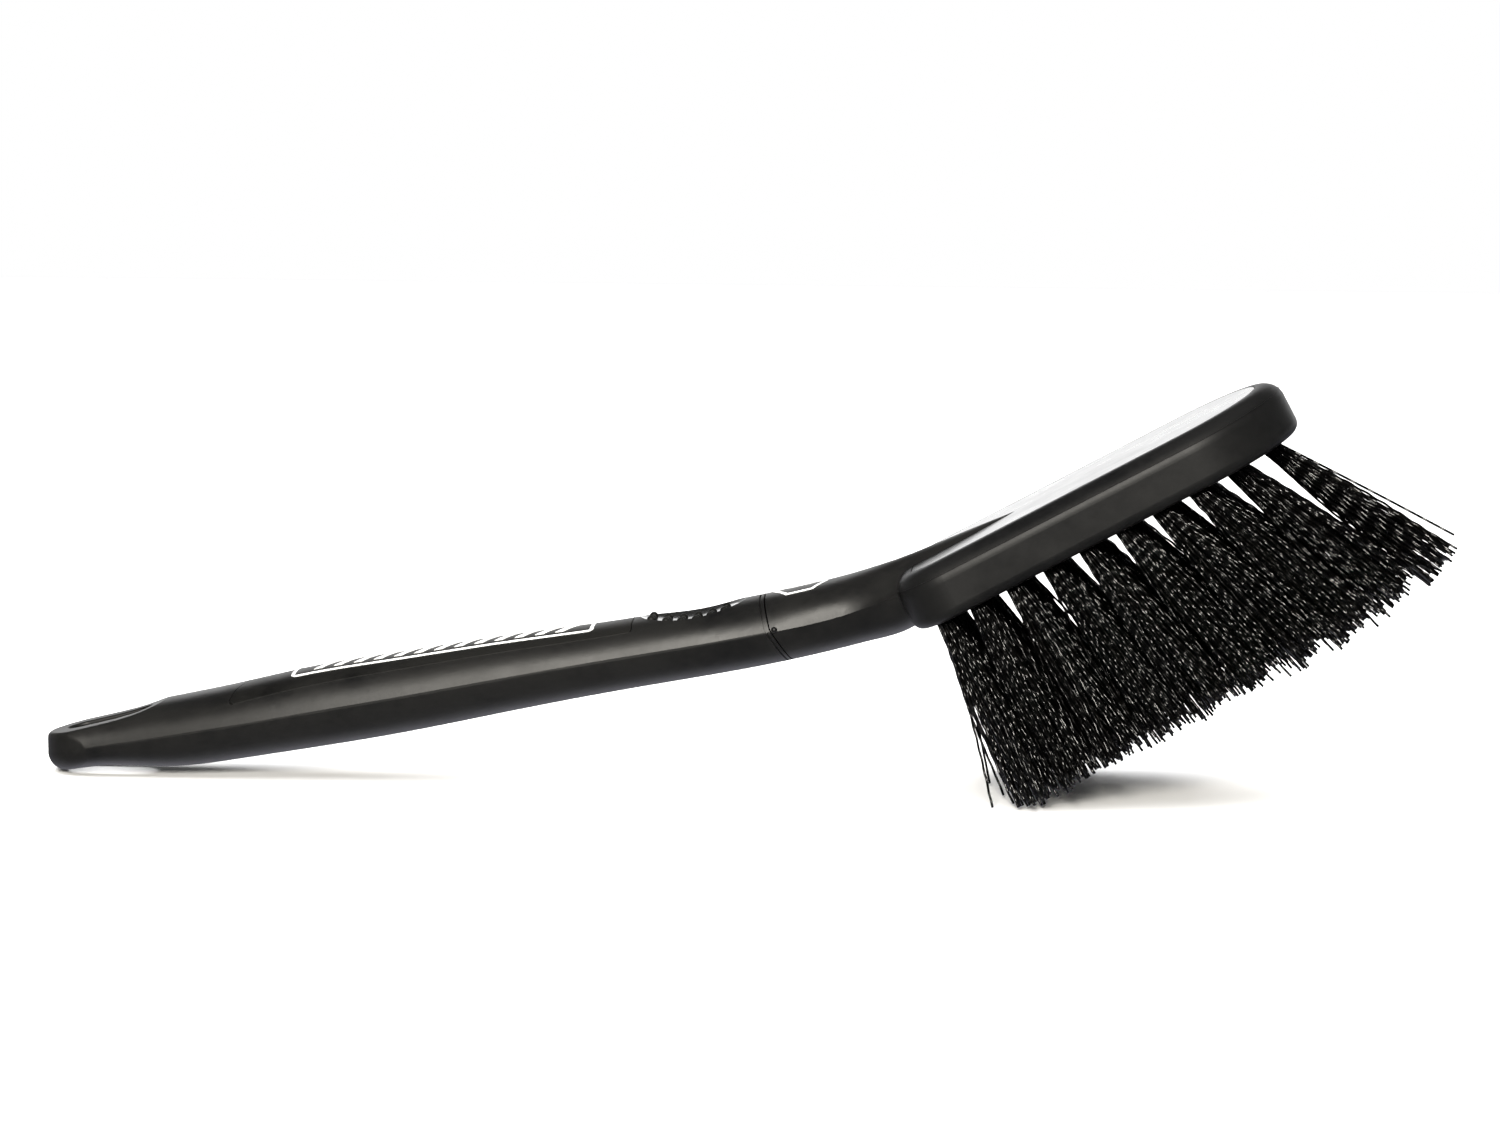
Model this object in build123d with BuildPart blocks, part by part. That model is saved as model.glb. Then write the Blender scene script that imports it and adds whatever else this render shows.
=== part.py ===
"""Hand-held wheel brush: moulded core, soft grip, soft head bumper and stapled bristle tufts.

Frame: X runs from the hang loop to the toe of the head, Z is up and Z = 0 is the surface that the
brush rests on. It touches that surface under the hang loop and under the heel tufts.
All dimensions are millimetres.
"""

import os
from math import cos, radians, sin, tan

from build123d import *

# ---------------------------------------------------------------- handle
# Each station is (x, bottom z, parting line z, top z, half width, ridge), where ridge goes from
# 0, an oval section, to 1, a narrow ridge with hollow flanks on top of a full lower half.
STATIONS = [
    (-168.0, 0.4, 5.2, 9.6, 11.4, 0.0),
    (-160.0, 0.1, 5.3, 11.2, 11.5, 0.0),
    (-154.0, 0.2, 5.6, 12.5, 11.5, 0.0),
    (-148.0, 1.1, 6.8, 13.7, 11.5, 0.0),
    (-140.0, 1.4, 8.1, 15.3, 11.8, 0.0),
    (-130.0, 1.4, 9.9, 17.4, 12.4, 0.0),
    (-116.0, 3.2, 12.4, 20.5, 13.2, 0.0),
    (-98.0, 6.3, 15.9, 24.8, 13.6, 0.0),
    (-78.0, 10.0, 19.7, 28.4, 13.5, 0.0),
    (-55.0, 15.0, 24.2, 32.4, 13.0, 0.0),
    (-30.0, 20.3, 29.0, 36.3, 12.3, 0.0),
    (-8.0, 24.5, 33.0, 40.4, 12.0, 0.0),
    (10.0, 28.2, 36.7, 44.3, 12.0, 0.0),
    (24.0, 31.7, 40.3, 47.9, 12.1, 0.0),
    (31.0, 33.6, 42.9, 50.2, 12.6, 0.45),
    (38.0, 35.8, 45.8, 52.8, 13.2, 1.0),
    (45.0, 40.0, 49.3, 55.8, 13.2, 1.0),
    (53.0, 44.5, 53.2, 59.3, 12.4, 1.0),
    (62.0, 49.6, 57.6, 63.1, 11.0, 1.0),
    (70.0, 54.2, 60.8, 65.6, 9.0, 1.0),
]
UPPER_LEAN = 12.0  # degrees that each flank leans in above the parting line
LOWER_LEAN = 14.0  # degrees that it leans in below the parting line
UPRIGHT_LENGTH = 50.0  # the flanks stand upright at the loop and take this length to reach their lean
# Control points of a section's curves, as shares of its half width and of its rise or drop.
OVAL_FLANK_RISE = 0.62
OVAL_CROWN_WIDTH = 0.72
RIDGE_FLANK = (0.62, 0.10)
RIDGE_CROWN_WIDTH = 0.40
KEEL_WIDTH = 0.70
LOWER_FLANK_DROP = 0.60

GRIP_SKIN = 2.6  # thickness of the soft sleeve around the tang
PANEL_DEPTH = 1.6  # thickness of the smooth panel let into the sleeve
PRINT_HEIGHT = 0.1  # how far the print stands proud
GROOVE = 0.35  # width of the moulded grooves
GROOVE_DEPTH = 0.5

# The sleeve ends along this line in the side view, straight above the parting line, raked below it.
SEAM = [(4.6, 70.0), (5.4, 45.0), (7.6, 37.0), (11.4, 31.0), (15.2, 25.0)]
COLLAR = 0.75  # width of the raised collar at the sleeve's end

# ---------------------------------------------------------------- hang loop
LOOP_END = -160.1
LOOP_RADIUS = 11.2
LOOP_FLARE = 6 * LOOP_RADIUS  # from the loop's end to the middle of the wide circle its sides run to
LOOP_TOP = [(-168.0, 7.6), (-156.0, 9.5), (-148.0, 11.4), (-140.0, 13.6), (-131.0, 17.6), (-122.0, 25.0)]
LOOP_RIM_SPLIT = 7.0  # edges of the loop below this height belong to its lower rim
LOOP_TOP_ROUND = 1.2
LOOP_BOTTOM_ROUND = 4.2
SLOT_LENGTH = 19.4
SLOT_WIDTH = 8.0
SLOT_CENTRE = -145.6
SLOT_ROUND = 0.5
TANG_END = -132.0

# ---------------------------------------------------------------- panel and print
# The panel, the frame and the bars are drawn on a plane that runs along the grip's parting line.
GRIP_TILT = 11.0
GRIP_MIDDLE = (-70.0, 21.5)  # x and z
PANEL_ENDS = (-45.6, 48.0)
PANEL_HALF_WIDTHS = (11.0, 9.0)
PANEL_CORNER = 0.8
PANEL_NOTCH = 3.4  # depth of the shallow V in the panel's end towards the loop
PANEL_GAP = 0.2  # between the panel and the edge of its pocket
FRAME_ENDS = (-31.3, 39.2)
FRAME_HALF_WIDTHS = (6.6, 6.4)
FRAME_CORNER = 1.5
FRAME_LINE = 0.8
BAR_COUNT = 13
BAR_PITCH = 4.7
BAR_WIDTH = 2.0
BAR_HEIGHT = 7.6
BAR_SLANT = 1.9
NECK_MARK = (15.4, 38.0)  # x of the neck mark's middle and a height inside the neck there
NECK_MARK_RADIUS = 6.4
NECK_MARK_SIDES = 6

# ---------------------------------------------------------------- thumb rest
DISH_CENTRE = (-15.3, 65.9)
DISH_LENGTH_RADIUS = 29.0
DISH_WIDTH_RADIUS = 25.0
PAD_MIDDLE = -11.2
PAD_RADII = (11.2, 7.0)
PAD_THICKNESS = 1.0
NUB_RADIUS = 1.0
NUB_PITCH = (3.45, 3.3)
NUB_COUNT = (6, 3)
NIB = (8.9, 11.9, 36.9)  # a moulding nib on each side of the neck
NIB_RADIUS = 0.7

# ---------------------------------------------------------------- head
HEAD_TILT = 28.4  # degrees, toe up
HEAD_CENTRE = (83.6, 60.26)  # x and z of the middle of the head's lower face
HEAD_LENGTH = 96.4
HEAD_WIDTH = 50.0
HEAD_HEIGHT = 12.75
HEEL_RADIUS = 11.5
BUMPER_WALL = 2.8
BUMPER_LIP = 5.0
LIP_HEIGHT = 4.2
TOP_ROUND = 4.4
BOTTOM_ROUND = 2.4
COVER_THICKNESS = 2.0
FACE_RECESS = 0.5
COVER_EDGE = 0.3
MOULD_LINE = (9.9, 0.25)  # height and width of the fine line that the mould leaves around the bumper
MOULD_LINE_INSET = 0.24

# ---------------------------------------------------------------- tufts
COLUMN_PITCH = 9.05
FIRST_COLUMN = -42.25
HEEL_COLUMN = -41.3  # the first column stands a little closer to the second
ROW_PITCH = 8.7
# Name, place across the head and number of tufts of each row.
ROWS = [
    ("right_outer", -2, 8),
    ("right_inner", -1, 9),
    ("middle", 0, 10),
    ("left_inner", 1, 9),
    ("left_outer", 2, 8),
]
ROW_LEAN = 5.0  # degrees of sideways lean per row
HEEL_LEAN = 0.5  # degrees that the first column leans towards the toe
COLUMN_LEAN = 3.05  # degrees more per column
HEEL_TRIM = 45.0  # from the drilled face straight down to the trimmed tips, at the first column
COLUMN_TRIM = -0.3  # difference per column
TUFT_ROOT = 2.2
TUFT_TIP = 5.1
HOLE_RADIUS = 2.3
HOLE_DEPTH = 7.4
ANCHOR = (5.8, 0.4, 1.6)  # length, thickness and height of a flat wire anchor
ANCHOR_LIFT = 1.2  # of its lower edge above the bottom of the hole

FAR_SIDE = 60.0  # a distance past either side of the brush, for cuts that go right across


def tilted_plane(x, z, degrees):
    """A plane whose X axis climbs towards the toe at the given angle."""
    slope = radians(degrees)
    return Plane(origin=(x, 0, z), x_dir=(cos(slope), 0, sin(slope)), z_dir=(-sin(slope), 0, cos(slope)))


head_plane = tilted_plane(*HEAD_CENTRE, HEAD_TILT)
grip_plane = tilted_plane(*GRIP_MIDDLE, GRIP_TILT)
neck_plane = tilted_plane(*NECK_MARK, GRIP_TILT)
head_axis = Axis(head_plane.origin, head_plane.z_dir)
side_plane = Plane(origin=(0, FAR_SIDE, 0), x_dir=(1, 0, 0), z_dir=(0, -1, 0))
under_plane = Plane.XY.offset(-FAR_SIDE)


def save(builder, name):
    """Label a finished piece and write it to its own file."""
    builder.part.label = name
    export_step(builder.part, f"parts/{name}.step")


def blend(first, second, share):
    """The point that lies share of the way from first to second."""
    return tuple(a + (b - a) * share for a, b in zip(first, second))


def handle_body(inset=0.0):
    """The handle and neck as one smooth body, its surface moved in by inset."""
    with BuildPart() as body:
        for x, bottom, parting, top, half_width, ridge in STATIONS:
            width = half_width - inset
            rise = top - parting - inset
            drop = parting - bottom - inset
            upright = min(1.0, (x - STATIONS[0][0]) / UPRIGHT_LENGTH)
            flank_rise = OVAL_FLANK_RISE * rise
            flank_drop = LOWER_FLANK_DROP * drop
            lean_in = flank_rise * tan(radians(UPPER_LEAN * upright))
            lean_out = flank_drop * tan(radians(LOWER_LEAN * upright))
            ridge_flank = (RIDGE_FLANK[0] * width, RIDGE_FLANK[1] * rise)
            flank = blend((width - lean_in, flank_rise), ridge_flank, ridge)
            crown = blend((OVAL_CROWN_WIDTH * width, rise), (RIDGE_CROWN_WIDTH * width, rise), ridge)
            low_flank = (width - lean_out, -flank_drop)
            with BuildSketch(Plane(origin=(x, 0, parting), x_dir=(0, 1, 0), z_dir=(1, 0, 0))):
                with BuildLine():
                    Bezier((width, 0), flank, crown, (0, rise))
                    Bezier((0, -drop), (KEEL_WIDTH * width, -drop), low_flank, (width, 0))
                    mirror(about=Plane.YZ)
                make_face()
        loft()
    return body.part


def side_cut(points, far):
    """Everything between a line in the side view and the plane x = far, across the full width."""
    with BuildPart() as cut:
        with BuildSketch(side_plane):
            with BuildLine():
                Polyline(*points, (far, points[-1][1]), (far, points[0][1]), close=True)
            make_face()
        extrude(amount=2 * FAR_SIDE)
    return cut.part


def seam_line(offset):
    """The seam's points moved along X."""
    return [(x + offset, z) for x, z in SEAM]


def tapered_outline(ends, half_widths, corner, notch=0.0):
    """An outline along X that narrows towards the neck, with a V of depth notch in its left end."""
    left, right = ends
    wide, narrow = half_widths
    with BuildSketch(Plane.XY) as outline:
        with BuildLine():
            Polyline((left, -wide), (right, -narrow), (right, narrow), (left, wide))
            if notch:
                Polyline((left, wide), (left + notch, 0), (left, -wide))
            else:
                Line((left, wide), (left, -wide))
        make_face()
        fillet(vertices(), corner)
    return outline.sketch


def dish_body(grow=0.0):
    """The tool that scoops the thumb rest: a ring whose outer surface is the dish's floor."""
    ring = DISH_LENGTH_RADIUS - DISH_WIDTH_RADIUS
    x, z = DISH_CENTRE
    with BuildPart() as scoop:
        with BuildSketch(Plane(origin=(x, 0, z), x_dir=(0, 1, 0), z_dir=(1, 0, 0))):
            with Locations((0, -ring)):
                Circle(DISH_WIDTH_RADIUS + grow)
            Rectangle(HEAD_WIDTH, 2 * HEAD_WIDTH, align=(Align.CENTER, Align.MAX), mode=Mode.INTERSECT)
        revolve(axis=Axis((x, 0, z), (0, 1, 0)))
    return scoop.part


def head_outline(inset=0.0):
    """The head seen from above, a round toe and a squarer heel, moved in by inset."""
    half = HEAD_WIDTH / 2
    toe = HEAD_LENGTH / 2 - half
    heel = -HEAD_LENGTH / 2
    corner = HEEL_RADIUS
    with BuildSketch(Plane.XY) as outline:
        with BuildLine():
            near_side = Line((heel + corner, -half), (toe, -half))
            toe_arc = ThreePointArc(near_side @ 1, (HEAD_LENGTH / 2, 0), (toe, half))
            far_side = Line(toe_arc @ 1, (heel + corner, half))
            TangentArc(far_side @ 1, (heel, half - corner), tangent=(-1, 0))
            Line((heel, half - corner), (heel, corner - half))
            TangentArc((heel, corner - half), near_side @ 0, tangent=(0, -1))
        make_face()
        if inset:
            offset(amount=-inset)
    return outline.sketch


def head_block(inset, low, high):
    """A slab of the head's outline between two heights above the head's lower face."""
    with BuildPart() as block:
        with BuildSketch(head_plane.offset(low)):
            add(head_outline(inset))
        extrude(amount=high - low)
    return block.part


def tuft_fall(row, column):
    """A tuft's path in the head's own axes, for each millimetre that it goes below the face."""
    forward = radians(HEEL_LEAN + COLUMN_LEAN * column)
    sideways = radians(ROW_LEAN * row)
    return Vector(tan(forward), tan(sideways), -1)


def tuft_plane(row, column):
    """A tuft's plane: its origin is the root on the drilled face, its Z axis leaves the head."""
    along = max(FIRST_COLUMN + COLUMN_PITCH * column, HEEL_COLUMN)
    root = Vector(along, ROW_PITCH * row, FACE_RECESS)
    origin = head_plane.from_local_coords(root)
    tip = head_plane.from_local_coords(root + tuft_fall(row, column).normalized())
    return Plane(origin=origin, x_dir=(0, 1, 0), z_dir=tip - origin)


def tuft_length(row, column):
    """How far a tuft reaches before its tips are trimmed."""
    return (HEEL_TRIM + COLUMN_TRIM * column) * tuft_fall(row, column).length


def nub_plane(step, row):
    """A plane on the thumb rest's floor, its Z axis square to the floor there."""
    x, z = DISH_CENTRE
    ring = DISH_LENGTH_RADIUS - DISH_WIDTH_RADIUS
    across = NUB_PITCH[1] * row
    reach = ring + (DISH_WIDTH_RADIUS**2 - across**2) ** 0.5
    turn = (PAD_MIDDLE - x + NUB_PITCH[0] * step) / DISH_LENGTH_RADIUS
    foot = Vector(x + reach * sin(turn), across, z - reach * cos(turn))
    middle = Vector(x + ring * sin(turn), 0, z - ring * cos(turn))
    return Plane(origin=foot, x_dir=(0, 1, 0), z_dir=middle - foot)


def nub(spot):
    """One nub: the part of a ball that stands proud of the thumb rest's floor."""
    with BuildPart() as ball:
        with Locations(spot.location):
            Sphere(NUB_RADIUS)
        add(dish, mode=Mode.INTERSECT)
    return ball.part


def rim_edges(builder, low, high):
    """The curved edges around the hang loop whose middles lie between two heights."""
    curved = builder.edges().filter_by(GeomType.LINE, reverse=True)
    at_loop = curved.filter_by(lambda edge: edge.center().X < LOOP_TOP[-1][0])
    return at_loop.filter_by(lambda edge: low < edge.center().Z < high)


os.makedirs("parts", exist_ok=True)

# ---------------------------------------------------------------- shared solids
outer = handle_body()
print_top = handle_body(-PRINT_HEIGHT)
past_seam = side_cut(seam_line(0), 2 * FAR_SIDE)
past_groove = side_cut(seam_line(GROOVE), 2 * FAR_SIDE)
dish = dish_body()

tuft_planes = {}
tuft_lengths = {}
for row_name, row, count in ROWS:
    for column in range(count):
        tuft_name = f"tuft_{row_name}_{column + 1:02d}"
        tuft_planes[tuft_name] = tuft_plane(row, column)
        tuft_lengths[tuft_name] = tuft_length(row, column)

with BuildPart() as collar_groove:
    with BuildSketch(side_plane):
        with BuildLine():
            Polyline(*seam_line(-COLLAR), *reversed(seam_line(-COLLAR - GROOVE)), close=True)
        make_face()
    extrude(amount=2 * FAR_SIDE)
    add(handle_body(GROOVE_DEPTH), mode=Mode.SUBTRACT)

with BuildPart() as panel:
    with BuildSketch(grip_plane):
        add(tapered_outline(PANEL_ENDS, PANEL_HALF_WIDTHS, PANEL_CORNER, PANEL_NOTCH))
    extrude(amount=FAR_SIDE)
    add(outer, mode=Mode.INTERSECT)
    add(handle_body(PANEL_DEPTH), mode=Mode.SUBTRACT)

with BuildPart() as panel_pocket:
    with BuildSketch(grip_plane):
        add(tapered_outline(PANEL_ENDS, PANEL_HALF_WIDTHS, PANEL_CORNER, PANEL_NOTCH))
        offset(amount=PANEL_GAP)
    extrude(amount=FAR_SIDE)
    add(handle_body(PANEL_DEPTH), mode=Mode.SUBTRACT)

with BuildPart() as pad:
    with BuildSketch():
        with Locations((PAD_MIDDLE, 0)):
            Ellipse(*PAD_RADII)
    extrude(amount=FAR_SIDE)
    add(dish_body(PAD_THICKNESS), mode=Mode.INTERSECT)
    add(dish, mode=Mode.SUBTRACT)

# ---------------------------------------------------------------- anchor wires
# One flat wire across the bottom of every tuft hole.
with BuildPart() as anchor_wires:
    length, thickness, height = ANCHOR
    with Locations(*[plane.offset(-HOLE_DEPTH + ANCHOR_LIFT).location for plane in tuft_planes.values()]):
        Box(length, thickness, height, align=(Align.CENTER, Align.CENTER, Align.MIN))
save(anchor_wires, "anchor_wires")

# ---------------------------------------------------------------- core
# Hard tang, neck and drilled head block in one moulding.
with BuildPart() as tang:
    add(handle_body(GRIP_SKIN))
    split(bisect_by=Plane.YZ.offset(TANG_END), keep=Keep.TOP)
    add(past_groove, mode=Mode.SUBTRACT)
    add(dish, mode=Mode.SUBTRACT)
    add(pad, mode=Mode.SUBTRACT)

with BuildPart() as core:
    add(outer)
    add(past_groove, mode=Mode.INTERSECT)
    with Locations(NIB, (NIB[0], -NIB[1], NIB[2])):
        Sphere(NIB_RADIUS)
    add(tang)
    add(head_block(BUMPER_WALL, FACE_RECESS, HEAD_HEIGHT - LIP_HEIGHT))
    add(head_block(BUMPER_LIP, HEAD_HEIGHT - LIP_HEIGHT, HEAD_HEIGHT - COVER_THICKNESS))
    with Locations(*[plane.location for plane in tuft_planes.values()]):
        Cylinder(HOLE_RADIUS, 2 * HOLE_DEPTH, mode=Mode.SUBTRACT)
    add(anchor_wires, mode=Mode.SUBTRACT)
save(core, "core")

# ---------------------------------------------------------------- grip sleeve
# Soft sleeve over the tang, solid around the hang slot.
with BuildPart() as grip_sleeve:
    add(outer)
    with BuildSketch(side_plane):
        with BuildLine():
            loop_line = Spline(*LOOP_TOP)
            Polyline(loop_line @ 1, (LOOP_TOP[-1][0], FAR_SIDE), (LOOP_TOP[0][0], FAR_SIDE), loop_line @ 0)
        make_face()
    extrude(amount=2 * FAR_SIDE, mode=Mode.SUBTRACT)
    with BuildSketch(under_plane):
        with Locations((LOOP_END + LOOP_RADIUS, 0)):
            Circle(LOOP_RADIUS)
        with Locations((LOOP_END + LOOP_FLARE, 0)):
            Circle(HEAD_WIDTH / 2)
        Rectangle(FAR_SIDE, HEAD_WIDTH, align=(Align.MIN, Align.CENTER))
        make_hull()
    extrude(amount=2 * FAR_SIDE, mode=Mode.INTERSECT)
    fillet(rim_edges(grip_sleeve, -FAR_SIDE, LOOP_RIM_SPLIT), LOOP_BOTTOM_ROUND)
    fillet(rim_edges(grip_sleeve, LOOP_RIM_SPLIT, FAR_SIDE), LOOP_TOP_ROUND)
    with BuildSketch(under_plane):
        with Locations((SLOT_CENTRE, 0)):
            SlotOverall(SLOT_LENGTH, SLOT_WIDTH)
    extrude(amount=2 * FAR_SIDE, mode=Mode.SUBTRACT)
    fillet(edges(Select.LAST).filter_by(GeomType.LINE, reverse=True), SLOT_ROUND)
    add(past_seam, mode=Mode.SUBTRACT)
    add(collar_groove, mode=Mode.SUBTRACT)
    add(panel_pocket, mode=Mode.SUBTRACT)
    add(dish, mode=Mode.SUBTRACT)
    add(pad, mode=Mode.SUBTRACT)
    add(tang, mode=Mode.SUBTRACT)
save(grip_sleeve, "grip_sleeve")

# ---------------------------------------------------------------- grip inlay and its print
with BuildPart() as grip_inlay:
    add(panel)
save(grip_inlay, "grip_inlay")

with BuildPart() as grip_print:
    with BuildSketch(grip_plane):
        add(tapered_outline(FRAME_ENDS, FRAME_HALF_WIDTHS, FRAME_CORNER))
        offset(amount=-FRAME_LINE, mode=Mode.SUBTRACT)
        for bar in range(BAR_COUNT):
            x = (FRAME_ENDS[0] + FRAME_ENDS[1]) / 2 + BAR_PITCH * (bar - (BAR_COUNT - 1) / 2)
            low = (x - BAR_SLANT, -BAR_HEIGHT / 2)
            high = (x + BAR_SLANT, BAR_HEIGHT / 2)
            with BuildLine():
                Polyline(low, (low[0] + BAR_WIDTH, low[1]), (high[0] + BAR_WIDTH, high[1]), high, close=True)
            make_face()
    extrude(amount=FAR_SIDE)
    add(print_top, mode=Mode.INTERSECT)
    add(outer, mode=Mode.SUBTRACT)
save(grip_print, "grip_print")

with BuildPart() as neck_print:
    with BuildSketch(neck_plane):
        RegularPolygon(NECK_MARK_RADIUS, NECK_MARK_SIDES)
        offset(amount=-FRAME_LINE, mode=Mode.SUBTRACT)
    extrude(amount=FAR_SIDE)
    add(print_top, mode=Mode.INTERSECT)
    add(outer, mode=Mode.SUBTRACT)
save(neck_print, "neck_print")

# ---------------------------------------------------------------- thumb rest
with BuildPart() as thumb_pad:
    add(pad)
save(thumb_pad, "thumb_pad")

with BuildPart() as thumb_nubs:
    for step in range(NUB_COUNT[0]):
        for row in range(NUB_COUNT[1]):
            add(nub(nub_plane(step - (NUB_COUNT[0] - 1) / 2, row - (NUB_COUNT[1] - 1) / 2)))
save(thumb_nubs, "thumb_nubs")

# ---------------------------------------------------------------- head bumper and cover
with BuildPart() as head_cover:
    add(head_block(BUMPER_LIP, HEAD_HEIGHT - COVER_THICKNESS, HEAD_HEIGHT))
    chamfer(faces().sort_by(head_axis)[-1].edges(), COVER_EDGE)
    add(outer, mode=Mode.SUBTRACT)
save(head_cover, "head_cover")

with BuildPart() as head_bumper:
    add(head_block(0, 0, HEAD_HEIGHT))
    fillet(edges().group_by(head_axis)[-1], TOP_ROUND)
    fillet(edges().group_by(head_axis)[0], BOTTOM_ROUND)
    add(head_block(MOULD_LINE_INSET, MOULD_LINE[0], sum(MOULD_LINE)))
    add(head_block(BUMPER_WALL, 0, HEAD_HEIGHT - LIP_HEIGHT), mode=Mode.SUBTRACT)
    add(head_block(BUMPER_LIP, HEAD_HEIGHT - LIP_HEIGHT, HEAD_HEIGHT), mode=Mode.SUBTRACT)
    add(outer, mode=Mode.SUBTRACT)
save(head_bumper, "head_bumper")

# ---------------------------------------------------------------- tufts
# Each tuft is the envelope of one folded bundle of bristles, widening from its hole to its tip.
for name, plane in tuft_planes.items():
    with BuildPart() as tuft:
        with Locations(plane.location):
            Cylinder(TUFT_ROOT, HOLE_DEPTH, align=(Align.CENTER, Align.CENTER, Align.MAX))
            Cone(TUFT_ROOT, TUFT_TIP, tuft_lengths[name], align=(Align.CENTER, Align.CENTER, Align.MIN))
        split(bisect_by=Plane.XY, keep=Keep.TOP)
        add(anchor_wires, mode=Mode.SUBTRACT)
    save(tuft, name)
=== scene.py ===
import math
import random

import bpy
import numpy as np
from mathutils import Matrix, Vector


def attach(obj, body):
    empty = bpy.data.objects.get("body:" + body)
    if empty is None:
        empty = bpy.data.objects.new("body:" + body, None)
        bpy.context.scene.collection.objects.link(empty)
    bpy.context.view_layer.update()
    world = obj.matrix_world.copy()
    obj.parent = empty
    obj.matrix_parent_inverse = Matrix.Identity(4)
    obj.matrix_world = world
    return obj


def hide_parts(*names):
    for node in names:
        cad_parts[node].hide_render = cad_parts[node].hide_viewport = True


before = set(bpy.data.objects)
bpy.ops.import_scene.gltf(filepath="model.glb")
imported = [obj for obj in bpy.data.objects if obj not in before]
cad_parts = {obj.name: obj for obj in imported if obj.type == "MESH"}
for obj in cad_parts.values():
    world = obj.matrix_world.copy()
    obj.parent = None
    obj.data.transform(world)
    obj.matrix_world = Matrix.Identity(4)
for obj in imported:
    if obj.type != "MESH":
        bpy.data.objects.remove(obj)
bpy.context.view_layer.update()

scene = bpy.context.scene
MM = 0.001

# ------------------------------------------------------------------ camera
AIM = Vector((2.42, 0.0, 50.58)) * MM
DISTANCE = 0.947
AZIMUTH = math.radians(4.5)
ELEVATION = math.radians(7.2)
ROLL = math.radians(0.366)
LENS = 100.0
SENSOR_WIDTH = 36.0


def add_camera():
    """A long lens at the side of the brush, a little above it."""
    away = Vector((
        math.sin(AZIMUTH) * math.cos(ELEVATION),
        -math.cos(AZIMUTH) * math.cos(ELEVATION),
        math.sin(ELEVATION),
    ))
    level = Vector((math.cos(AZIMUTH), math.sin(AZIMUTH), 0.0))
    upright = away.cross(level)
    right = level * math.cos(ROLL) + upright * math.sin(ROLL)
    up = away.cross(right)
    data = bpy.data.cameras.new("camera")
    data.lens = LENS
    data.sensor_width = SENSOR_WIDTH
    data.dof.use_dof = False
    camera = bpy.data.objects.new("camera", data)
    scene.collection.objects.link(camera)
    turn = Matrix((right, up, away)).transposed()
    camera.matrix_world = Matrix.Translation(AIM + away * DISTANCE) @ turn.to_4x4()
    scene.camera = camera


# ------------------------------------------------------------------ node helpers
def add_noise(tree, place, scale, detail=4.0, roughness=0.55, stretch=None):
    """Noise over the piece, in metres, stretched along one axis if asked."""
    noise = tree.nodes.new("ShaderNodeTexNoise")
    noise.inputs["Scale"].default_value = scale
    noise.inputs["Detail"].default_value = detail
    noise.inputs["Roughness"].default_value = roughness
    if stretch:
        mapping = tree.nodes.new("ShaderNodeMapping")
        mapping.inputs["Scale"].default_value = stretch
        tree.links.new(place, mapping.inputs["Vector"])
        place = mapping.outputs[0]
    tree.links.new(place, noise.inputs["Vector"])
    return noise.outputs["Fac"]


def add_range(tree, value, low, high, to_low, to_high):
    """value moved from one range to another."""
    node = tree.nodes.new("ShaderNodeMapRange")
    node.inputs["From Min"].default_value = low
    node.inputs["From Max"].default_value = high
    node.inputs["To Min"].default_value = to_low
    node.inputs["To Max"].default_value = to_high
    tree.links.new(value, node.inputs["Value"])
    return node.outputs[0]


def add_ramp(tree, value, stops):
    """Colours along value."""
    ramp = tree.nodes.new("ShaderNodeValToRGB")
    ramp.color_ramp.elements[0].position = stops[0][0]
    ramp.color_ramp.elements[0].color = (*stops[0][1], 1.0)
    ramp.color_ramp.elements[1].position = stops[-1][0]
    ramp.color_ramp.elements[1].color = (*stops[-1][1], 1.0)
    for position, colour in stops[1:-1]:
        element = ramp.color_ramp.elements.new(position)
        element.color = (*colour, 1.0)
    tree.links.new(value, ramp.inputs["Fac"])
    return ramp.outputs["Color"]


# ------------------------------------------------------------------ stage and light
def add_softbox(name, place, target, size, power, colour=(1.0, 1.0, 1.0)):
    """A soft rectangular studio light that faces target."""
    data = bpy.data.lights.new(name, "AREA")
    data.shape = "RECTANGLE"
    data.size, data.size_y = size
    data.energy = power
    data.color = colour
    light = bpy.data.objects.new(name, data)
    scene.collection.objects.link(light)
    light.location = place
    light.rotation_euler = (Vector(target) - Vector(place)).to_track_quat("-Z", "Y").to_euler()
    light.visible_camera = False
    return light


# What the studio's walls give back: height from floor (0) over horizon (0.5) to ceiling (1),
# brightness, and how blue it is.
STUDIO_GLOW = [
    (0.0, 1.50, 1.1),
    (0.12, 1.10, 1.1),
    (0.30, 0.40, 1.15),
    (0.44, 0.22, 1.15),
    (0.49, 0.50, 1.05),
    (0.53, 0.55, 1.0),
    (0.60, 0.22, 1.0),
    (0.68, 0.07, 1.0),
    (1.0, 0.04, 1.0),
]


# The studio is bright behind the brush and dim on the camera's side: the span along Y in which it
# changes, and the share of the glow that is left in front.
BEHIND = (-0.1, 0.8)
FRONT_SHARE = 0.12


FLOOR_HALF = 1.9
FLOOR_DROP = 0.0003  # keeps the floor clear of what rests on it


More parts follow.
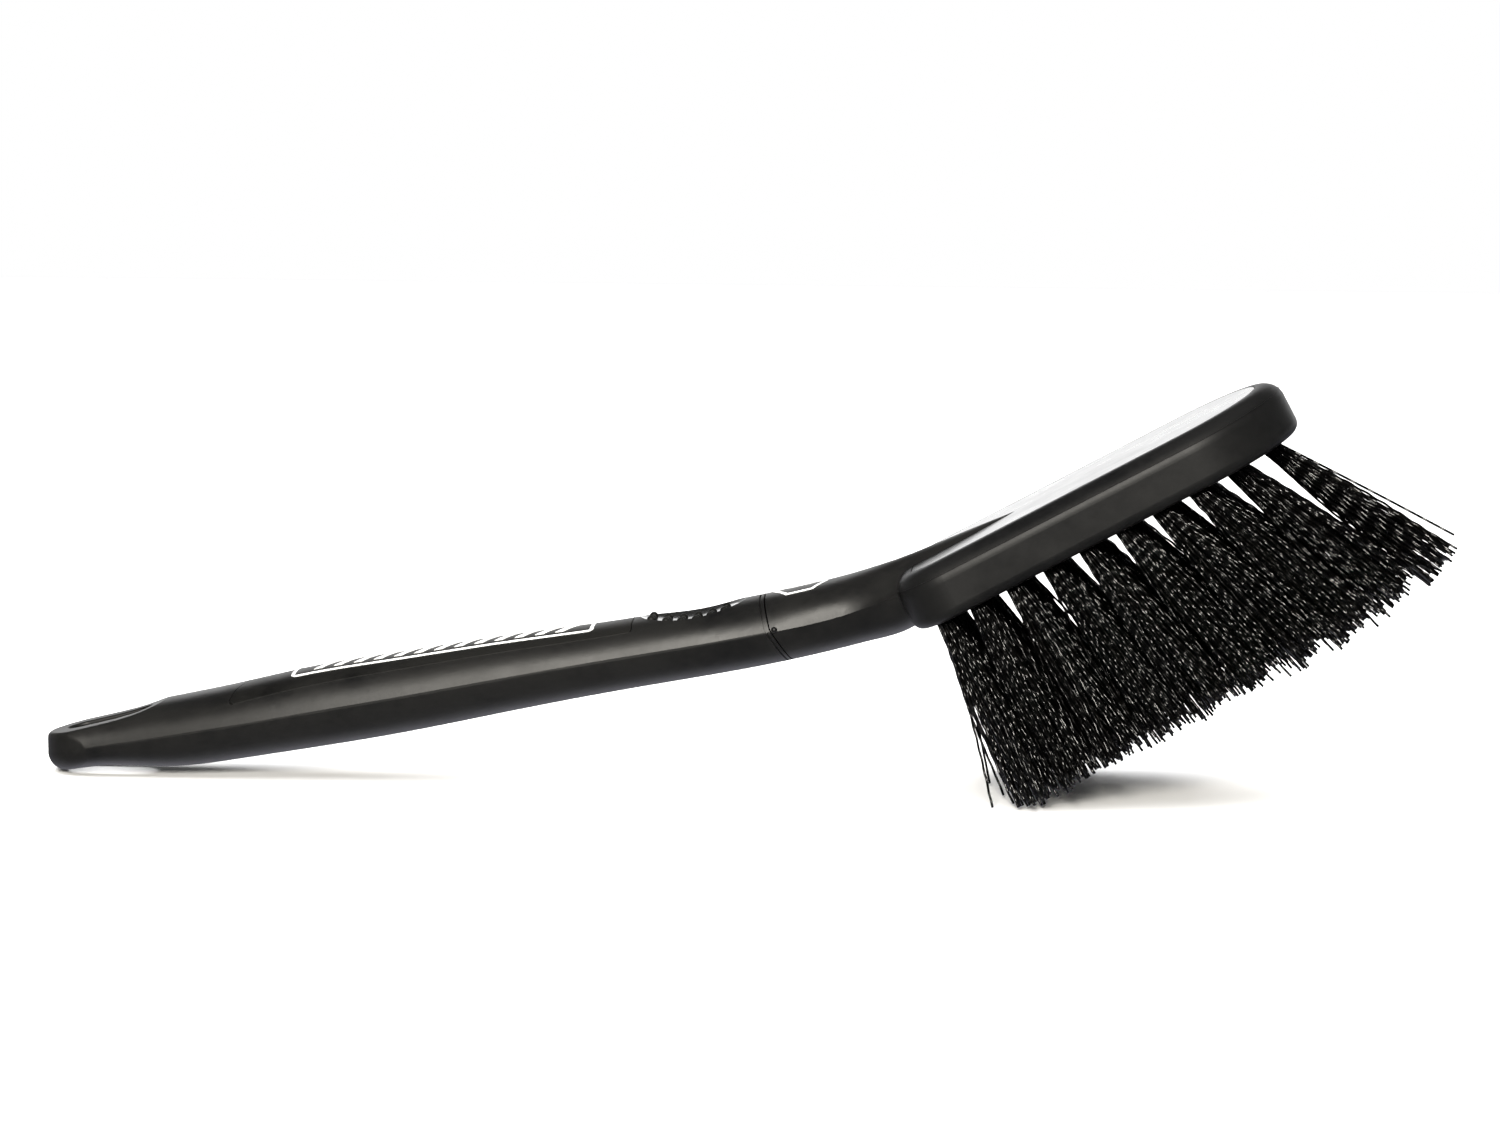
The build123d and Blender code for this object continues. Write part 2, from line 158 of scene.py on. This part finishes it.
def add_stage():
    """A plain white floor under a pale studio world."""
    half = FLOOR_HALF
    mesh = bpy.data.meshes.new("floor")
    corners = [(-half, -half, 0), (half, -half, 0), (half, half, 0), (-half, half, 0)]
    mesh.from_pydata(corners, [], [(0, 1, 2, 3)])
    floor = bpy.data.objects.new("floor", mesh)
    scene.collection.objects.link(floor)
    floor.location.z = -FLOOR_DROP
    material = bpy.data.materials.new("floor_paint")
    material.use_nodes = True
    shader = material.node_tree.nodes["Principled BSDF"]
    shader.inputs["Base Color"].default_value = (0.93, 0.93, 0.93, 1.0)
    shader.inputs["Roughness"].default_value = 0.9
    shader.inputs["Specular IOR Level"].default_value = 0.1
    mesh.materials.append(material)
    floor.visible_glossy = False

    world = bpy.data.worlds.new("studio")
    scene.world = world
    world.use_nodes = True
    tree = world.node_tree
    tree.nodes.clear()
    output = tree.nodes.new("ShaderNodeOutputWorld")
    seen = tree.nodes.new("ShaderNodeBackground")
    seen.inputs["Color"].default_value = (1.0, 1.0, 1.0, 1.0)
    seen.inputs["Strength"].default_value = 1.0
    fill = tree.nodes.new("ShaderNodeBackground")
    direction = tree.nodes.new("ShaderNodeTexCoord")
    height = tree.nodes.new("ShaderNodeSeparateXYZ")
    tree.links.new(direction.outputs["Generated"], height.inputs[0])
    level = add_range(tree, height.outputs["Z"], -1.0, 1.0, 0.0, 1.0)
    ramp = add_ramp(tree, level, [(at, (glow, glow, glow * tint)) for at, glow, tint in STUDIO_GLOW])
    tree.links.new(ramp, fill.inputs["Color"])
    behind = add_range(tree, height.outputs["Y"], *BEHIND, FRONT_SHARE, 1.0)
    tree.links.new(behind, fill.inputs["Strength"])
    path = tree.nodes.new("ShaderNodeLightPath")
    mix = tree.nodes.new("ShaderNodeMixShader")
    tree.links.new(path.outputs["Is Camera Ray"], mix.inputs[0])
    tree.links.new(fill.outputs[0], mix.inputs[1])
    tree.links.new(seen.outputs[0], mix.inputs[2])
    tree.links.new(mix.outputs[0], output.inputs["Surface"])

    overhead = add_softbox("overhead", (0.0, 0.1, 1.6), (0.0, 0.0, 0.0), (3.4, 3.0), 128.0)
    overhead.visible_glossy = False
    add_softbox("backdrop_glow", (0.0, 2.4, 0.45), (0.0, 0.0, 0.1), (2.6, 1.0), 13.0)
    add_softbox("front_box", (-0.05, -1.25, 0.60), (0.0, 0.0, 0.04), (0.32, 0.40), 28.0, (1.0, 0.96, 0.88))
    scene.view_settings.view_transform = "Standard"
    scene.view_settings.look = "None"


# ------------------------------------------------------------------ materials
def new_material(name):
    """A new material, its node tree and its Principled shader."""
    material = bpy.data.materials.new(name)
    material.use_nodes = True
    tree = material.node_tree
    shader = tree.nodes["Principled BSDF"]
    return material, tree, shader


CLOUD_SCALE = 38.0
MARK_SCALE = 420.0
MARK_SHARE = 0.45  # of the handling marks in the tone
DARK_TO_LIGHT = (0.45, 0.75)  # tones between which the colour runs from dark to light
SMOOTH_TO_ROUGH = (0.4, 0.9)  # tones between which the roughness rises
COAT_ROUGHNESS = 0.12
GRAIN_STRENGTH = 0.35
SWELL_STRENGTH = 0.25
SWELL_DEPTH = 0.0006


def moulded(
    name, dark, light, roughness, specular, grain, grain_depth, streaks=(1.0, 1.0, 1.0), coat=0.0
):
    """Moulded rubber or plastic: cloudy tone, handling marks, fine grain and slow unevenness."""
    material, tree, shader = new_material(name)
    place = tree.nodes.new("ShaderNodeTexCoord").outputs["Object"]
    cloud = add_noise(tree, place, CLOUD_SCALE, 5.0, 0.6, streaks)
    marks = add_noise(tree, place, MARK_SCALE, 6.0, 0.72, streaks)
    fine = add_noise(tree, place, grain, 3.0, 0.6)
    tone = tree.nodes.new("ShaderNodeMath")
    tone.operation = "MULTIPLY_ADD"
    tree.links.new(marks, tone.inputs[0])
    tone.inputs[1].default_value = MARK_SHARE
    tree.links.new(cloud, tone.inputs[2])
    stops = list(zip(DARK_TO_LIGHT, (dark, light)))
    tree.links.new(add_ramp(tree, tone.outputs[0], stops), shader.inputs["Base Color"])
    dulling = add_range(tree, tone.outputs[0], *SMOOTH_TO_ROUGH, *roughness)
    tree.links.new(dulling, shader.inputs["Roughness"])
    shader.inputs["Specular IOR Level"].default_value = specular
    shader.inputs["Coat Weight"].default_value = coat
    shader.inputs["Coat Roughness"].default_value = COAT_ROUGHNESS
    bump = tree.nodes.new("ShaderNodeBump")
    bump.inputs["Strength"].default_value = GRAIN_STRENGTH
    bump.inputs["Distance"].default_value = grain_depth
    tree.links.new(fine, bump.inputs["Height"])
    swell = tree.nodes.new("ShaderNodeBump")
    swell.inputs["Strength"].default_value = SWELL_STRENGTH
    swell.inputs["Distance"].default_value = SWELL_DEPTH
    tree.links.new(cloud, swell.inputs["Height"])
    tree.links.new(bump.outputs[0], swell.inputs["Normal"])
    tree.links.new(swell.outputs[0], shader.inputs["Normal"])
    return material


def bristle_material(name, colour, roughness, specular):
    """Shiny black monofilament. Its variety comes from the crimped filaments themselves."""
    material, _, shader = new_material(name)
    shader.inputs["Base Color"].default_value = (*colour, 1.0)
    shader.inputs["Roughness"].default_value = roughness
    shader.inputs["Specular IOR Level"].default_value = specular
    return material


def dress(node, material):
    """Give a CAD node its finished material."""
    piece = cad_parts[node]
    for slot in piece.material_slots:
        slot.material = material


def add_materials():
    """Finish every CAD node that stays in view."""
    dress("core", moulded(
        "core_moulding", (0.0016, 0.0017, 0.0020), (0.0060, 0.0058, 0.0054),
        (0.36, 0.46), 0.42, 2400.0, 0.00003))
    dress("grip_sleeve", moulded(
        "grip_rubber", (0.0016, 0.0017, 0.0020), (0.0060, 0.0058, 0.0054),
        (0.38, 0.48), 0.42, 2600.0, 0.00004))
    dress("head_bumper", moulded(
        "bumper_rubber", (0.0016, 0.0017, 0.0020), (0.0050, 0.0050, 0.0050),
        (0.38, 0.48), 0.22, 2600.0, 0.00004))
    dress("grip_inlay", moulded(
        "panel_plastic", (0.0016, 0.0016, 0.0016), (0.0060, 0.0058, 0.0052),
        (0.38, 0.50), 0.34, 3000.0, 0.00004))
    dress("head_cover", moulded(
        "cover_plastic", (0.003, 0.003, 0.003), (0.008, 0.008, 0.008), (0.20, 0.34), 0.5, 3200.0, 0.00003,
        streaks=(0.15, 1.0, 1.0), coat=0.3))
    dress("thumb_pad", moulded(
        "pad_plastic", (0.003, 0.003, 0.003), (0.008, 0.008, 0.008),
        (0.12, 0.22), 0.5, 3200.0, 0.00002, coat=0.5))
    dress("thumb_nubs", moulded(
        "nub_rubber", (0.0018, 0.0018, 0.0018), (0.005, 0.005, 0.0045), (0.45, 0.6), 0.3, 2600.0, 0.00004))
    ink = moulded(
        "print_ink", (0.70, 0.70, 0.69), (0.86, 0.86, 0.85), (0.40, 0.55), 0.4, 3600.0, 0.00001)
    dress("grip_print", ink)
    dress("neck_print", ink)
    dress("anchor_wires", moulded(
        "anchor_steel", (0.45, 0.45, 0.43), (0.62, 0.62, 0.60), (0.25, 0.4), 0.5, 3000.0, 0.00001))


# ------------------------------------------------------------------ bristles
# The roots and leans repeat the CAD part's: rows across the head, columns along it.
HEAD_TILT = math.radians(28.4)
HEAD_CENTRE = Vector((83.6, 0.0, 60.26)) * MM
FACE_RECESS = 0.5 * MM
COLUMN_PITCH = 9.05 * MM
FIRST_COLUMN = -42.25 * MM
HEEL_COLUMN = -41.3 * MM
ROW_PITCH = 8.7 * MM
ROWS = [
    ("right_outer", -2, 8),
    ("right_inner", -1, 9),
    ("middle", 0, 10),
    ("left_inner", 1, 9),
    ("left_outer", 2, 8),
]
ROW_LEAN = 5.0  # degrees of sideways lean per row
HEEL_LEAN = 0.5  # degrees that the first column leans towards the toe
COLUMN_LEAN = 3.05  # degrees more per column
HEEL_TRIM = 45.0 * MM
COLUMN_TRIM = -0.3 * MM

FILAMENTS = 54
FILAMENT_RADIUS = 0.27 * MM
SIDES = 6
STEP = 0.65 * MM
ROOT_DEPTH = 5.0 * MM
ROOT_RADIUS = 1.65 * MM
FLARE = 3.9 * MM
FLARE_LENGTH = 60.0 * MM
CRIMP_PERIOD = 4.7 * MM
CRIMP = 0.22 * MM
CRIMP_FADE = 4.0 * MM  # the crimp grows from nothing over this length below the face
# How filaments differ: each spread is a standard deviation.
ANGLE_SPREAD = 0.15
LENGTH_SPREAD = 0.7 * MM
FLARE_SPREAD = 0.16
DRIFT_SPREAD = 1.0
BOW_SPREAD = 0.5
CRIMP_TURN_SPREAD = 0.4
PHASE_SPREAD = 0.28
PERIOD_SPREAD = 0.03
CRIMP_VARIES = (0.75, 1.25)
PHASE_PER_ROW = 1.7
PHASE_PER_COLUMN = 2.3
SHORT_SHARE = 0.06
SHORT_BY = (1.5, 6.0)
HEEL_STRAYS = 0.06
HEEL_STRAY_BY = (4.0, 9.0)
STRAYS = 0.03
STRAY_BY = (-3.0, 3.0)
FLOOR_MARGIN = 1.1  # filament radii between a centre line and the floor
FEWEST_POINTS = 8
GOLDEN_ANGLE = math.pi * (3.0 - math.sqrt(5.0))
head_turn = Matrix.Rotation(-HEAD_TILT, 3, "Y")


def filament_path(root, fall, depth, along, across, rng, row, column, index):
    """Centre line of one filament: packed in its hole, flaring out, crimped all the way.

    fall is the tuft's path for each metre below the face and depth is where its tips are trimmed.
    """
    share = math.sqrt((index + 0.5) / FILAMENTS)
    angle = GOLDEN_ANGLE * index + rng.gauss(0.0, ANGLE_SPREAD)
    reach = fall.length
    length = (depth + rng.gauss(0.0, LENGTH_SPREAD)) * reach
    if rng.random() < SHORT_SHARE:
        length -= rng.uniform(*SHORT_BY) * MM
    flare = FLARE * share * rng.gauss(1.0, FLARE_SPREAD)
    drift = [rng.gauss(0.0, DRIFT_SPREAD) * MM, rng.gauss(0.0, DRIFT_SPREAD) * MM]
    if column == 0 and rng.random() < HEEL_STRAYS:
        drift[0] -= rng.uniform(*HEEL_STRAY_BY) * MM
    elif rng.random() < STRAYS:
        drift[0] += rng.uniform(*STRAY_BY) * MM
    bow = (rng.gauss(0.0, BOW_SPREAD) * MM, rng.gauss(0.0, BOW_SPREAD) * MM)
    plane_angle = math.pi / 2 + rng.gauss(0.0, CRIMP_TURN_SPREAD)
    phase = rng.gauss(0.0, PHASE_SPREAD) + PHASE_PER_ROW * row + PHASE_PER_COLUMN * column
    period = CRIMP_PERIOD * rng.gauss(1.0, PERIOD_SPREAD)
    wave_depth = CRIMP * rng.uniform(*CRIMP_VARIES)
    s = np.arange(-ROOT_DEPTH, length + STEP * 0.5, STEP)
    out = np.clip(s, 0.0, None)
    t = out / (depth * reach)
    grow = (1.0 - np.exp(-out / FLARE_LENGTH)) / (1.0 - math.exp(-depth * reach / FLARE_LENGTH))
    radius = ROOT_RADIUS * share + flare * grow
    x = radius * math.cos(angle) + drift[0] * t**1.5 + bow[0] * np.sin(np.pi * t) ** 2
    y = radius * math.sin(angle) + drift[1] * t**1.5 + bow[1] * np.sin(np.pi * t) ** 2
    fade = np.clip(out / CRIMP_FADE, 0.0, 1.0)
    wave = wave_depth * fade * np.sin(2.0 * np.pi * s / period + phase)
    x = x + wave * math.cos(plane_angle)
    y = y + wave * math.sin(plane_angle)
    points = (np.array(root)[None, :] + np.outer(s, np.array(fall / reach))
              + np.outer(x, np.array(along)) + np.outer(y, np.array(across)))
    below = np.nonzero(points[:, 2] < FILAMENT_RADIUS * FLOOR_MARGIN)[0]
    if len(below):
        points = points[: max(below[0], FEWEST_POINTS)]
    return points


def tube(points):
    """Vertices and quads of a closed tube around a line of points."""
    count = len(points)
    ahead = np.gradient(points, axis=0)
    ahead /= np.linalg.norm(ahead, axis=1)[:, None]
    side = np.cross(ahead, np.array([0.0, 1.0, 0.0]))
    side /= np.linalg.norm(side, axis=1)[:, None]
    other = np.cross(ahead, side)
    turns = 2.0 * np.pi * np.arange(SIDES) / SIDES
    cosines = np.cos(turns)[None, :, None]
    sines = np.sin(turns)[None, :, None]
    ring = cosines * side[:, None, :] + sines * other[:, None, :]
    verts = (points[:, None, :] + FILAMENT_RADIUS * ring).reshape(-1, 3)
    faces = []
    for i in range(count - 1):
        a, b = i * SIDES, (i + 1) * SIDES
        for k in range(SIDES):
            n = (k + 1) % SIDES
            faces.append((a + k, a + n, b + n, b + k))
    faces.append(tuple(range(SIDES - 1, -1, -1)))
    faces.append(tuple(range((count - 1) * SIDES, count * SIDES)))
    return verts, faces


def add_tuft(name, row, column, materials):
    """One tuft of crimped filaments in the place of its CAD envelope."""
    rng = random.Random(1000 * (row + 3) + column)
    forward = math.radians(HEEL_LEAN + COLUMN_LEAN * column)
    sideways = math.radians(ROW_LEAN * row)
    place = max(FIRST_COLUMN + COLUMN_PITCH * column, HEEL_COLUMN)
    root = HEAD_CENTRE + head_turn @ Vector((place, ROW_PITCH * row, FACE_RECESS))
    fall = head_turn @ Vector((math.tan(forward), math.tan(sideways), -1.0))
    depth = HEEL_TRIM + COLUMN_TRIM * column
    axis = fall.normalized()
    along = head_turn @ Vector((1.0, 0.0, 0.0))
    along = (along - axis * along.dot(axis)).normalized()
    across = axis.cross(along)
    verts, faces, kinds = [], [], []
    offset = 0
    for index in range(FILAMENTS):
        points = filament_path(root, fall, depth, along, across, rng, row, column, index)
        ring, quads = tube(points)
        verts.append(ring)
        faces.extend(tuple(v + offset for v in face) for face in quads)
        kinds.extend([index % len(materials)] * len(quads))
        offset += len(ring)
    mesh = bpy.data.meshes.new(name + "_bristles")
    mesh.from_pydata(np.concatenate(verts).tolist(), [], faces)
    for material in materials:
        mesh.materials.append(material)
    mesh.polygons.foreach_set("material_index", kinds)
    mesh.polygons.foreach_set("use_smooth", [True] * len(faces))
    mesh.update()
    tuft = bpy.data.objects.new(name + "_bristles", mesh)
    scene.collection.objects.link(tuft)
    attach(tuft, "root")
    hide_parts(name)


def add_tufts():
    """Every tuft of the head."""
    materials = [
        bristle_material("bristle_black", (0.0008, 0.0008, 0.0008), 0.22, 0.36),
        bristle_material("bristle_worn", (0.0010, 0.0009, 0.0008), 0.27, 0.08),
        bristle_material("bristle_shiny", (0.0008, 0.0008, 0.0008), 0.18, 0.6),
    ]
    for row_name, row, count in ROWS:
        for column in range(count):
            add_tuft(f"tuft_{row_name}_{column + 1:02d}", row, column, materials)


add_camera()
add_stage()
add_materials()
add_tufts()
